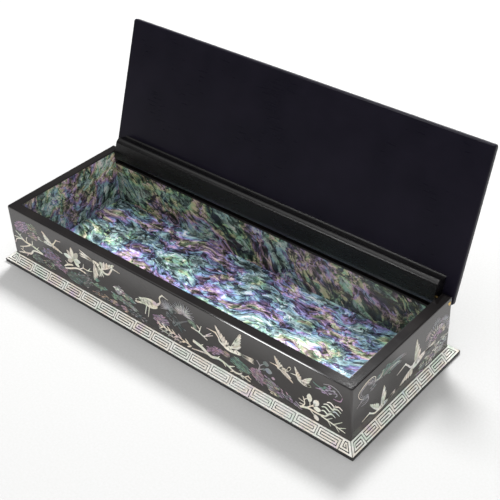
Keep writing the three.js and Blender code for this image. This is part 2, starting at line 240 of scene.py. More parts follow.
def abalone(name, turn, tint, stretch, seed, size, drift, lift, paintedShadeSlope=0.0, upright=True, reach=(1.33, 2.05)):
    # Abalone veneer, sliced thin, pieced together and lacquered over. Its layers show as long
    # wavy streaks one to three millimetres wide, slate to silver with flashes of blue, violet,
    # sea green and cream, broken by dark seams. Fine slivers give it sparkle.
    material, tree, shader, coords = newMaterial(name)
    along = addNode(tree, "Mapping", {
        "Vector": coords["Object"], "Location": (seed, seed * 0.7, seed * 1.3),
        "Rotation": [math.radians(a) for a in turn], "Scale": [1 / (size * mm)] * 3})

    def warp(vector, scale, amount):
        noise = addNode(tree, "TexNoise", {"Vector": vector, "Scale": scale, "Detail": 2.0}).outputs["Color"]
        centred = addNode(tree, "VectorMath", {0: noise, 1: (0.5, 0.5, 0.5)}, operation="SUBTRACT")
        scaled = addNode(tree, "VectorMath", {0: centred, 1: (amount,) * 3}, operation="MULTIPLY")
        return addNode(tree, "VectorMath", {0: vector, 1: scaled}, operation="ADD")

    def flakes(scale):
        cells = addNode(tree, "TexVoronoi", {"Vector": ragged, "Scale": scale}, feature="F1").outputs["Color"]
        return addNode(tree, "SeparateColor", {0: cells}).outputs

    def weigh(total, parts):
        for part, weight in parts:
            total = addNode(tree, "Math", {0: part, 1: weight, 2: total}, operation="MULTIPLY_ADD")
        return total

    slow, quick = abaloneSizes["waves"]
    wavy = warp(warp(along, *slow), *quick)
    drawn = addNode(tree, "VectorMath", {0: wavy, 1: (1 / stretch, 1.0, 1.0)}, operation="MULTIPLY")
    ragged = warp(drawn, *abaloneSizes["ragged"])
    vectors = {"wavy": wavy, "drawn": drawn, "ragged": ragged}
    noise = {}
    for field, (vector, *values) in abaloneSizes["noises"].items():
        inputs = dict(zip(("Scale", "Detail", "Roughness", "Distortion"), values))
        noise[field] = addNode(tree, "TexNoise", {"Vector": vectors[vector], **inputs})
    # the shell's growth layers: each goes from dark to light and breaks off at a sharp curved edge
    heaped = addNode(tree, "Math", {0: noise["heaps"], 1: abaloneSizes["layers"]}, operation="MULTIPLY")
    layers = addNode(tree, "Math", {0: heaped}, operation="FRACT")
    leaf, flake = flakes(abaloneSizes["leaf"]), flakes(abaloneSizes["flake"])
    # painted light and shade: the tone rises or falls evenly along the length, so that one end of each sheet is
    # lighter
    lengthwise = addNode(tree, "SeparateXYZ", {"Vector": coords["Object"]}).outputs["X"]
    # flakes of two sizes give the sharp changes, bands and streaks the slow ones
    tone = weigh(lift, ((lengthwise, paintedShadeSlope), (noise["slivers"], 0.5), (noise["flecks"], 0.4), (flake[0], 0.34),
                        (leaf[0], 0.22), (layers, 0.36), (noise["streaks"], 0.8), (noise["bands"], 0.8)))
    span = addNode(tree, "MapRange", {"Value": tone, "From Min": reach[0], "From Max": reach[1]})
    shade = addNode(tree, "ValToRGB", {"Fac": span}, stops=abaloneSizes["shade"])
    # the hue drifts slowly across the bands and jumps from flake to flake
    drifted = weigh(drift, ((layers, 0.2), (flake[1], 0.12), (leaf[1], 0.3), (noise["hues"], 3.2)))
    cycle = addNode(tree, "Math", {0: drifted}, operation="FRACT")
    colour = addNode(tree, "ValToRGB", {"Fac": cycle}, stops=abaloneSizes["hue"]).outputs[0]
    # the brightest tones are painted near white: partly pale nacre, partly a painted highlight of its sparkle
    low, high, most = abaloneSizes["glint"]
    glints = addNode(tree, "MapRange", {"Value": tone, "From Min": low, "From Max": high, "To Max": most})
    off = addNode(tree, "Math", {0: noise["ridges"], 1: 0.5}, operation="SUBTRACT")
    away = addNode(tree, "Math", {0: off}, operation="ABSOLUTE")
    low, high, most = abaloneSizes["seam"]
    seams = addNode(tree, "MapRange", {
        "Value": away, "From Min": low, "From Max": high, "To Min": most, "To Max": 0.0})
    layered = [("MULTIPLY", 1.0, shade), ("MIX", glints, linearColour("#f1eef6")),
               ("MIX", seams, linearColour("#1c2228")), ("MULTIPLY", 1.0, linearColour(tint))]
    if upright:
        # on the walls the top edge of the veneer is lacquered over with the rim
        facing = addNode(tree, "SeparateXYZ", {"Vector": coords["Normal"]}).outputs["Z"]
        topEdge = addNode(tree, "Math", {0: facing, 1: 0.5}, operation="GREATER_THAN")
        layered.append(("MIX", topEdge, linearColour("#151314")))
    for blend, share, over in layered:
        mixed = addNode(tree, "Mix", {0: share, 6: colour, 7: over}, data_type="RGBA", blend_type=blend)
        colour = mixed.outputs[2]
    bump = addNode(tree, "Bump", {"Height": tone, "Strength": 0.06, "Distance": 0.0002})
    feed(shader, {"Base Color": colour, "Normal": bump, "Roughness": 0.13, "Specular IOR Level": 0.5})
    return material


pearlSizes = {
    "drift": 110.0,  # changes a metre: colour drifts about 9 mm across
    "grain": 900.0,  # and a grain of 1 mm, coarser than the real one so that it shows
    "sheen": [(0.25, "#e3cdea"), (0.40, "#f8efdf"), (0.52, "#fbfaf4"), (0.64, "#e6f2e3"), (0.78, "#d9def5")],
}


def pearl(name, low, high, fromPieces=False):
    # White mother-of-pearl, sawn and polished flush: creamy, with slow drifts of pink and
    # green a few millimetres across and a fine pearly grain.
    material, tree, shader, coords = newMaterial(name)
    drift = addNode(tree, "TexNoise", {"Vector": coords["Object"], "Scale": pearlSizes["drift"], "Detail": 3.0})
    grain = addNode(tree, "TexNoise", {"Vector": coords["Object"], "Scale": pearlSizes["grain"], "Detail": 2.0})
    colour = addNode(tree, "ValToRGB", {"Fac": drift}, stops=pearlSizes["sheen"]).outputs[0]
    layered = [addNode(tree, "MapRange", {
        "Value": grain, "From Min": 0.3, "From Max": 0.7, "To Min": low, "To Max": high})]
    if fromPieces:
        layered.append(addNode(tree, "Attribute", attribute_name="shell"))
    for over in layered:
        mixed = addNode(tree, "Mix", {0: 1.0, 6: colour, 7: over}, data_type="RGBA", blend_type="MULTIPLY")
        colour = mixed.outputs[2]
    bump = addNode(tree, "Bump", {"Height": grain, "Strength": 0.05, "Distance": 0.0002})
    feed(shader, {"Base Color": colour, "Normal": bump, "Roughness": 0.38, "Specular IOR Level": 0.3})
    return material


# the last colour is a painted reflection: a paler grey on the upright faces than on the rims
bodyLacquer = lacquer("Black lacquer on wood polished", "#121011", "#1a1716", 0.085, 0.015, 0.6, "#373433")
plinthLacquer = lacquer("Black lacquer on wood moulding", "#141314", "#201d1c", 0.22, 0.04, 0.5)
lidLacquer = lacquer("Black lacquer on wood lid", "#110f19", "#17141f", 0.30, 0.04, 0.14)
railLacquer = lacquer("Black lacquer on turned rail", "#050405", "#0a090a", 0.28, 0.03, 0.44)
floorAbalone = abalone("Abalone veneer floor", (0, 0, 0), "#ffffff", 2.4, 0.0, 1.35, 0.83, 0.02, paintedShadeSlope=0.7,
                       upright=False)
backAbalone = abalone("Abalone veneer back", (0, -42, 0), "#cac5b4", 1.3, 0.31, 1.8, 0.55, -0.02, paintedShadeSlope=-0.9,
                      reach=(1.42, 1.93))
frontAbalone = abalone("Abalone veneer front", (0, 20, 0), "#e6e6e6", 2.0, 0.57, 1.35, 0.1, 0.0)
sideAbalone = abalone("Abalone veneer sides", (-70, 0, 90), "#fbf3e6", 1.5, 0.83, 1.3, 0.45, 0.06)
keyPearl = pearl("Mother-of-pearl white sawn", 0.71, 0.87)
inlaidShell = pearl("Mother-of-pearl inlaid pieces", 0.80, 0.97, fromPieces=True)

# Brass wire, turned and left bare: warm yellow with fine rings and a little brown tarnish.
pinBrass, tree, shader, coords = newMaterial("Brass wire turned")
tarnish = addNode(tree, "TexNoise", {"Vector": coords["Object"], "Scale": 1400.0, "Detail": 3.0})
colour = addNode(tree, "ValToRGB", {"Fac": tarnish}, stops=[(0.35, "#a5824a"), (0.6, "#e0c27c")])
rough = addNode(tree, "MapRange", {"Value": tarnish, "To Min": 0.42, "To Max": 0.18})
feed(shader, {"Base Color": colour, "Roughness": rough, "Metallic": 1.0})

# Spruce board, planed and left bare: pale, with long grain lines about two millimetres apart.
bareBoard, tree, shader, coords = newMaterial("Spruce board planed")
lengthwise = addNode(tree, "Mapping", {"Vector": coords["Object"], "Scale": (12.0, 450.0, 450.0)})
rings = addNode(tree, "TexNoise", {"Vector": lengthwise, "Scale": 1.0, "Detail": 4.0})
colour = addNode(tree, "ValToRGB", {"Fac": rings}, stops=[(0.3, "#8f6b45"), (0.7, "#c7a271")])
feed(shader, {"Base Color": colour, "Roughness": 0.7})

# Wool felt, pressed, black: matt, mottled by fibres about half a millimetre apart.
blackFelt, tree, shader, coords = newMaterial("Wool felt pressed black")
fibres = addNode(tree, "TexNoise", {
    "Vector": coords["Object"], "Scale": 2200.0, "Detail": 5.0, "Roughness": 0.7, "Distortion": 1.5})
colour = addNode(tree, "ValToRGB", {"Fac": fibres}, stops=[(0.3, "#0d0d0e"), (0.7, "#2b2a2c")])
bump = addNode(tree, "Bump", {"Height": fibres, "Strength": 0.5, "Distance": 0.0004})
feed(shader, {"Base Color": colour, "Normal": bump, "Roughness": 0.95, "Sheen Weight": 0.3,
              "Sheen Roughness": 0.5, "Specular IOR Level": 0.1})

linings = {"front": frontAbalone, "back": backAbalone, "left": sideAbalone, "right": sideAbalone}
nodeFinishes = {"lid_panel": lidLacquer, "hinge_rail": railLacquer, "floor_lining": floorAbalone,
                "floor_board": bareBoard, "left_hinge_pin": pinBrass, "right_hinge_pin": pinBrass}
for side, lining in linings.items():
    nodeFinishes.update({side + "_wall": bodyLacquer, side + "_plinth": plinthLacquer,
                         side + "_key_border": keyPearl, side + "_lining": lining})
for name, material in nodeFinishes.items():
    cadNodes[name].data.materials.clear()
    cadNodes[name].data.materials.append(material)


# Felt under the floor board
print("felt")
feltSizes = {"inset": 0.0003, "step": 0.004, "fuzz": 0.00008, "seed": 4}
inset = Vector((feltSizes["inset"], feltSizes["inset"], 0))
feltLow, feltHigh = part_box("base_felt")
low, high = Vector(feltLow) + inset, Vector(feltHigh) - inset
countX = round((high.x - low.x) / feltSizes["step"])
countY = round((high.y - low.y) / feltSizes["step"])
fuzz = random.Random(feltSizes["seed"])
bm = bmesh.new()
grid = {}
for level, z in enumerate((low.z, high.z)):
    for i in range(countX + 1):
        for j in range(countY + 1):
            x = low.x + (high.x - low.x) * i / countX
            y = low.y + (high.y - low.y) * j / countY
            lift = fuzz.random() * feltSizes["fuzz"] * (1 if level == 0 else -1)
            grid[level, i, j] = bm.verts.new((x, y, z + lift))
for i in range(countX):
    for j in range(countY):
        bm.faces.new([grid[0, i, j], grid[0, i, j + 1], grid[0, i + 1, j + 1], grid[0, i + 1, j]])
        bm.faces.new([grid[1, i, j], grid[1, i + 1, j], grid[1, i + 1, j + 1], grid[1, i, j + 1]])
rim = [(i, 0) for i in range(countX)] + [(countX, j) for j in range(countY)]
rim += [(i, countY) for i in range(countX, 0, -1)] + [(0, j) for j in range(countY, 0, -1)]
for a, b in zip(rim, rim[1:] + rim[:1]):
    bm.faces.new([grid[0, *a], grid[0, *b], grid[1, *b], grid[1, *a]])
feltMesh = bpy.data.meshes.new("felt_pad")
bm.to_mesh(feltMesh)
bm.free()
feltMesh.materials.append(blackFelt)
feltPad = bpy.data.objects.new("felt_pad", feltMesh)
scene.collection.objects.link(feltPad)
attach(feltPad, "box")
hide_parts("base_felt")


# Inlaid pictures
print("inlaid pictures")
boxSizes = {"length": 240, "depth": 84}  # millimetres, as in the drawings
inlaySizes = {
    "sunk": 0.12,         # how deep the pieces go into the wood
    "proud": 0.03,        # how far the lowest pieces stand out, and the step to the next ones
    "step": 0.014,
    "shard": (2.3, 0.7),  # length and width of the splinters in rocks and ground
    "shardGap": 0.08,
    "shardLift": 0.018,
    "dimLift": (0.004, 0.003),  # the plate under the splinters, and the step to the next one
    "needle": 0.34,
    "leg": (0.55, 0.4),   # from hip to foot
}
inlayCounts = {
    "smooth": 4,          # pieces of curve between two drawn points
    "swell": 1.12,        # rocks and ground grow by this from their drawn size
    "dense": 0.55,        # from this density on, a plate lies under the splinters
    "plateSides": 14,
    "dim": (0.22, 0.07),  # that plate's share of the shell's light, and what is added
    "feathers": 11,       # in one wing
    "seed": 11,
}
topLift = inlaySizes["proud"] + inlaySizes["step"] * 4  # above all other pieces
needle = inlaySizes["needle"]
shellColours = {
    "cream": "#fbf5ee", "warm": "#f2eadc", "white": "#fdfbf8", "shade": "#d6cdc4", "violet": "#b096ba",
    "pink": "#d0acc4", "green": "#98ab9a", "teal": "#7ea29c", "peach": "#c8b0a2", "slate": "#7c8288",
    "deep": "#53646a", "mist": "#b0adb8", "blue": "#8590b6", "cut": "#3a3532",
}
chance = random.Random(inlayCounts["seed"])


def shellColour(name, spread=0.12):
    # each piece is cut from another spot of the shell
    r, g, b, _ = linearColour(shellColours[name])
    k = 1 + chance.uniform(-spread, spread)
    return (r * k * chance.uniform(0.96, 1.04), g * k, b * k * chance.uniform(0.95, 1.05), 1.0)


def smoothPath(points, closed=False):
    # Catmull-Rom curve through the drawn points
    points = [Vector(p) for p in points]
    n = len(points)
    if n < 3 and not closed:
        return points
    result = []
    for i in range(n if closed else n - 1):
        if closed:
            a, b, c, d = (points[(i + k) % n] for k in (-1, 0, 1, 2))
        else:
            a, b, c, d = points[max(i - 1, 0)], points[i], points[i + 1], points[min(i + 2, n - 1)]
        for k in range(inlayCounts["smooth"]):
            t = k / inlayCounts["smooth"]
            result.append(0.5 * ((2 * b) + (c - a) * t + (2 * a - 5 * b + 4 * c - d) * t * t
                                 + (3 * b - a - 3 * c + d) * t ** 3))
    return result if closed else result + [points[-1]]


class Picture:
    # one panel of inlay, drawn flat in millimetres and then laid on its face of the box
    def __init__(self):
        self.bm = bmesh.new()
        self.shell = self.bm.verts.layers.float_color.new("shell")
        self.fans = []
        self.layer = 0

    def raised(self):
        # neighbours differ a little in height, so that no two tops lie in one plane
        self.layer += 1
        return inlaySizes["proud"] + inlaySizes["step"] * (self.layer % 4)

    def vertex(self, point, z, colour):
        v = self.bm.verts.new((point[0] * mm, point[1] * mm, z * mm))
        v[self.shell] = colour
        return v

    def plate(self, outline, colour, lift=None):
        lift = self.raised() if lift is None else lift
        if sum(a[0] * b[1] - b[0] * a[1] for a, b in zip(outline, outline[1:] + outline[:1])) < 0:
            outline = outline[::-1]
        top = [self.vertex(p, lift, colour) for p in outline]
        low = [self.vertex(p, -inlaySizes["sunk"], colour) for p in outline]
        for face in tessellate_polygon([[Vector((p[0], p[1], 0)) for p in outline]]):
            a, b, c = (Vector(outline[i]) for i in face)
            if (b - a).cross(c - a) < 0:
                face = face[::-1]
            self.bm.faces.new([top[i] for i in face])
            self.bm.faces.new([low[i] for i in face[::-1]])
        for i in range(len(outline)):
            j = (i + 1) % len(outline)
            self.bm.faces.new([low[i], low[j], top[j], top[i]])

    def blob(self, points, colour, lift=None):
        self.plate([tuple(p) for p in smoothPath(points, closed=True)], shellColour(colour), lift)

    def oval(self, centre, radius, colour, squash=1.0, lift=None):
        x, y = centre
        corners = [(x + radius * math.cos(a), y + radius * squash * math.sin(a)) for a in (0, 1.57, 3.14, 4.71)]
        self.blob(corners, colour, lift)

    def stroke(self, points, widths, colour, lift=None):
        # a line of shell; its width runs through the values given
        path = smoothPath(points)
        lift = self.raised() if lift is None else lift
        tone = shellColour(colour)
        rows = []
        for i, p in enumerate(path):
            ahead = (path[min(i + 1, len(path) - 1)] - path[max(i - 1, 0)]).normalized()
            t = i / (len(path) - 1) * (len(widths) - 1)
            k = min(int(t), len(widths) - 2)
            side = Vector((-ahead.y, ahead.x)) * (0.5 * (widths[k] + (widths[k + 1] - widths[k]) * (t - k)))
            edges, levels = (p - side, p + side), (lift, -inlaySizes["sunk"])
            rows.append([self.vertex(q, z, tone) for z in levels for q in edges])
        for a, b in zip(rows, rows[1:]):
            for i, j in ((0, 1), (1, 3), (3, 2), (2, 0)):
                self.bm.faces.new([a[i], b[i], b[j], a[j]])
        self.bm.faces.new([rows[0][i] for i in (0, 1, 3, 2)])
        self.bm.faces.new([rows[-1][i] for i in (2, 3, 1, 0)])

    def fan(self, place, heading, reach, girth, colour, count=1, spread=0.0):
        # marks that leave one point; Geometry Nodes set them out
        self.fans.append({
            "place": (place[0] * mm, place[1] * mm, self.raised() * mm), "heading": math.radians(heading),
            "reach": reach * mm, "girth": girth * mm, "count": count, "spread": math.radians(spread),
            "shell": shellColour(colour)})

    def shards(self, centre, size, colours, density, tilt=0.0):
        # crushed shell laid as small splinters inside an oval, with the ground showing between them
        colours = colours.split()
        length, width = inlaySizes["shard"]
        girth = (width - inlaySizes["shardGap"]) / 2
        size = (size[0] * inlayCounts["swell"], size[1] * inlayCounts["swell"])
        c, s = math.cos(math.radians(tilt)), math.sin(math.radians(tilt))

        def turned(points):
            return [(centre[0] + x * c - y * s, centre[1] + x * s + y * c) for x, y in points]

        if density > inlayCounts["dense"]:
            # a dim plate of shell lies under the thick ones
            self.layer += 1
            outline = []
            for k in range(inlayCounts["plateSides"]):
                a, r = k * math.tau / inlayCounts["plateSides"], chance.uniform(0.74, 1.0)
                outline.append((size[0] * r * math.cos(a), size[1] * r * math.sin(a)))
            share, added = inlayCounts["dim"]
            tone = tuple(share * v + added for v in shellColour(colours[0])[:3]) + (1.0,)
            lowest, step = inlaySizes["dimLift"]
            edge = [tuple(p) for p in smoothPath(turned(outline), closed=True)]
            self.plate(edge, tone, lowest + step * (self.layer % 4))
        across, up = int(size[0] / length) + 1, int(size[1] / width) + 1
        for i in range(-across, across + 1):
            for j in range(-up, up + 1):
                u = (i + 0.5 * (j % 2) + chance.uniform(-0.3, 0.3)) * length
                v = (j + chance.uniform(-0.2, 0.2)) * width
                if (u / size[0]) ** 2 + (v / size[1]) ** 2 > 1 or chance.random() > density + 0.15:
                    continue
                v += 0.5 * math.sin(u * 0.9 + centre[0])  # the rows wave a little
                reach, lean = length * chance.uniform(0.35, 0.62), chance.uniform(-0.25, 0.25)
                outline = [(u + x * reach, v + y * girth + x * lean * reach) for x, y in (
                    (-1, 0), (-0.4, 1), (0.5, 0.9), (1, 0), (0.3, -1), (-0.6, -0.8))]
                self.plate(turned(outline), shellColour(chance.choice(colours), 0.3), inlaySizes["shardLift"])

    def wing(self, root, tip, trail, colour):
        # feathers laid side by side along a bone; they close up at the bone and part at the tips
        root, tip, trail = Vector(root), Vector(tip), Vector(trail)
        across = (root - trail) * 0.24  # how far the bone bows
        feathers = inlayCounts["feathers"]

        def edge(start, bow, t):
            middle = start.lerp(tip, 0.5) + bow
            return (1 - t) ** 2 * start + 2 * t * (1 - t) * middle + t * t * tip

        girth = 1.5 * (tip - root).length * 0.72 / feathers  # wide enough to overlap
        for k in range(feathers):
            t = k / (feathers - 1)
            start = edge(root, across, t * 0.74)
            way = edge(trail, across * 0.2, min(1.0, t * 0.74 + 0.26)) - start
            self.fan(start, math.degrees(math.atan2(way.y, way.x)), way.length * (1.1 if k % 2 else 1.0),
                     max(0.6, girth * (1.2 - 0.5 * t)), colour if k % 2 else "shade")
        self.stroke([edge(root, across, t) for t in (0.0, 0.3, 0.6, 0.85)], [1.0, 0.9, 0.4], colour)

    def crane(self, beak, head, neck, shoulder, rump, tail, wings, girth, neckWidth, legs=(), colour="cream"):
        beak, head, shoulder, rump = Vector(beak), Vector(head), Vector(shoulder), Vector(rump)
        for wingTip, trail, at in wings:
            self.wing(shoulder.lerp(rump, at), wingTip, trail, colour)
        along = (rump - shoulder).normalized()
        side = Vector((-along.y, along.x)) * girth * 0.5
        middle = shoulder.lerp(rump, 0.42)
        # body, neck, head and beak
        self.blob([shoulder - along * 0.8, shoulder + side * 0.62, middle + side, rump + side * 0.45,
                   rump + along * 0.6, rump - side * 0.5, middle - side, shoulder - side * 0.7], colour)
        self.stroke([shoulder + along * 0.6, *neck[::-1], head],
                    [neckWidth * k for k in (2.1, 1.0, 0.85, 1.0)], colour)
        self.oval(head, neckWidth * 0.78, colour, 0.8)
        self.stroke([head, head.lerp(beak, 0.5), beak], [neckWidth * 0.75, neckWidth * 0.5, 0.14], colour)
        for leg in legs:
            self.stroke(leg, inlaySizes["leg"], colour)
        # short cuts in the shell, filled with lacquer, mark the feathers of the body
        for k in range(3):
            root = shoulder.lerp(rump, 0.25 + 0.25 * k)
            self.stroke([root + side * (0.55 - 0.1 * k), root + along * 0.9, root - side * 0.5 + along * 0.5],
                        [0.1, 0.24, 0.1], "cut", topLift)
        backward = Vector(tail) - rump
        self.fan(rump, math.degrees(math.atan2(backward.y, backward.x)), backward.length, 0.9, colour, 4, 16)

    def blossom(self, place, size, colour="white", turn=0.0):
        self.fan(place, turn, size, size * 0.86, colour, 5, 288)
        self.oval(place, 0.42, "warm", lift=topLift)

    def branch(self, points, widths, colour, twigs=(), leaf=None):
        self.stroke(points, widths, colour)
        for twig in twigs:
            self.stroke(twig, [widths[-1] * 1.3, 0.3], colour)
        if leaf:
            # leaves on both sides of the stem
            reach, girth, leafColour, angle = leaf
            path = smoothPath(points)
            for i in range(1, len(path)):
                ahead = path[i] - path[i - 1]
                heading = math.degrees(math.atan2(ahead.y, ahead.x))
                self.fan(path[i], heading + (angle if i % 2 else -angle), reach, girth, leafColour)

    def cloud(self, points, colour, width=0.7):
        self.stroke(points, [width * 0.4, width, width * 0.4], colour)


fanFields = {"heading": "FLOAT", "reach": "FLOAT", "girth": "FLOAT", "count": "INT", "spread": "FLOAT"}


def fanTree():
    # Geometry Nodes: marks set out in fans, each turned, stretched and shaken a little
    tree = bpy.data.node_groups.new("inlay_fans", "GeometryNodeTree")
    for name, kind in (
            ("Fans", "Geometry"), ("Mark", "Object"), ("Shell", "Material"), ("Reach scale", "Float"),
            ("Girth scale", "Float"), ("Reach jitter", "Float"), ("Angle jitter", "Float"), ("Seed", "Int")):
        tree.interface.new_socket(name, in_out="INPUT", socket_type="NodeSocket" + kind)
    tree.interface.new_socket("Inlay", in_out="OUTPUT", socket_type="NodeSocketGeometry")
    values = dict(addNode(tree, "NodeGroupInput").outputs.items())
    for name, kind in fanFields.items():
        field = addNode(tree, "GeometryNodeInputNamedAttribute", {"Name": name}, data_type=kind)
        values[name] = field.outputs["Attribute"]
    fanned = {"Geometry": values["Fans"], "Amount": values["count"]}
    marks = addNode(tree, "GeometryNodeDuplicateElements", fanned, domain="POINT")
    values["index"] = marks.outputs["Duplicate Index"]
    # a name stands for an input or an earlier row; a random row has its least and greatest value and its seed
    for label, operation, *terms in (
            ("others", "SUBTRACT", "count", 1.0), ("gaps", "MAXIMUM", "others", 1.0),
            ("share", "DIVIDE", "index", "gaps"), ("several", "MINIMUM", "others", 1.0),
            ("middle", "MULTIPLY", "several", 0.5), ("centred", "SUBTRACT", "share", "middle"),
            ("aside", "MULTIPLY", "centred", "spread"), ("turned", "ADD", "heading", "aside"),
            ("least", "MULTIPLY", "Angle jitter", -1.0), ("shake", "RANDOM", "least", "Angle jitter", "Seed"),
            ("angle", "ADD", "turned", "shake"), ("shortest", "SUBTRACT", 1.0, "Reach jitter"),
            ("next seed", "ADD", "Seed", 1.0), ("stretch", "RANDOM", "shortest", 1.0, "next seed"),
            ("scaled", "MULTIPLY", "reach", "Reach scale"), ("long", "MULTIPLY", "scaled", "stretch"),
            ("wide", "MULTIPLY", "girth", "Girth scale")):
        terms = [values.get(term, term) for term in terms]
        if operation == "RANDOM":
            limits = dict(zip(("Min", "Max", "Seed"), terms))
            node = addNode(tree, "FunctionNodeRandomValue", limits, data_type="FLOAT")
        else:
            node = addNode(tree, "Math", dict(enumerate(terms)), operation=operation)
        values[label] = node.outputs["Value"]
    mark = addNode(tree, "GeometryNodeObjectInfo", {"Object": values["Mark"]}).outputs["Geometry"]
    turn = addNode(tree, "CombineXYZ", {"Z": values["angle"]})
    size = addNode(tree, "CombineXYZ", {"X": values["long"], "Y": values["wide"], "Z": 1.0})
    fans = addNode(tree, "GeometryNodeInstanceOnPoints", {
        "Points": marks.outputs["Geometry"], "Instance": mark, "Rotation": turn, "Scale": size})
    real = addNode(tree, "GeometryNodeRealizeInstances", {"Geometry": fans})
    shelled = addNode(tree, "GeometryNodeSetMaterial", {"Geometry": real, "Material": values["Shell"]})
    addNode(tree, "NodeGroupOutput", {"Inlay": shelled})
    return tree


# one feather, needle or leaf: a slim pointed plate, one long and one wide before it is scaled
markOutline = [(0, -0.14), (0.25, -0.42), (0.55, -0.5), (0.85, -0.3), (1, 0), (0.85, 0.3), (0.55, 0.5),
               (0.25, 0.42), (0, 0.14)]
markDepth = (inlaySizes["sunk"] + 0.05) * mm
bm = bmesh.new()
top = [bm.verts.new((x, y, 0)) for x, y in markOutline]
low = [bm.verts.new((x, y, -markDepth)) for x, y in markOutline]
bm.faces.new(top)
bm.faces.new(low[::-1])
for i in range(len(top)):
    j = (i + 1) % len(top)
    bm.faces.new([low[i], low[j], top[j], top[i]])
markMesh = bpy.data.meshes.new("mark")
bm.to_mesh(markMesh)
bm.free()
mark = bpy.data.objects.new("mark", markMesh)
fans = fanTree()
fanSizes = {"Mark": mark, "Shell": inlaidShell, "Reach scale": 1.0, "Girth scale": 1.0,
            "Reach jitter": 0.1, "Angle jitter": 0.05, "Seed": 5}


def layPicture(picture, name, matrix, body, tone):
    # the fans become a mesh, join the plates, and all goes on its face
    points = bpy.data.meshes.new(name + "_fans")
    points.from_pydata([f["place"] for f in picture.fans], [], [])
    for field, kind in fanFields.items():
        points.attributes.new(field, kind, "POINT").data.foreach_set("value", [f[field] for f in picture.fans])
    shell = points.attributes.new("shell", "FLOAT_COLOR", "POINT")
    shell.data.foreach_set("color", [c for f in picture.fans for c in f["shell"]])
    source = bpy.data.objects.new(name + "_fans", points)
    scene.collection.objects.link(source)
    modifier = source.modifiers.new("fans", "NODES")
    modifier.node_group = fans
    for socket in fans.interface.items_tree:
        if socket.name in fanSizes:
            modifier[socket.identifier] = fanSizes[socket.name]
    graph = bpy.context.evaluated_depsgraph_get()
    laid = bpy.data.meshes.new_from_object(source.evaluated_get(graph), depsgraph=graph)
    picture.bm.from_mesh(laid)
    shell = picture.bm.verts.layers.float_color["shell"]
    for v in picture.bm.verts:
        v[shell] = (v[shell][0] * tone, v[shell][1] * tone, v[shell][2] * tone, 1.0)
    bpy.data.objects.remove(source)
    bpy.data.meshes.remove(laid)
    bmesh.ops.recalc_face_normals(picture.bm, faces=picture.bm.faces)
    picture.bm.transform(matrix)
    mesh = bpy.data.meshes.new(name)
    picture.bm.to_mesh(mesh)
    picture.bm.free()
    mesh.materials.append(inlaidShell)
    for polygon in mesh.polygons:
        polygon.material_index = 0  # the fans bring a slot of their own
    piece = bpy.data.objects.new(name, mesh)
    scene.collection.objects.link(piece)
    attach(piece, body)
    print("  ", name, len(mesh.polygons), "faces")


def faceMatrix(origin, across, up):
    # millimetres on the face, seen from outside, to the shared frame in metres
    across, up = Vector(across), Vector(up)
    out = across.cross(up)
    return Matrix([[across[i], up[i], out[i], origin[i] * mm] for i in range(3)] + [[0, 0, 0, 1]])


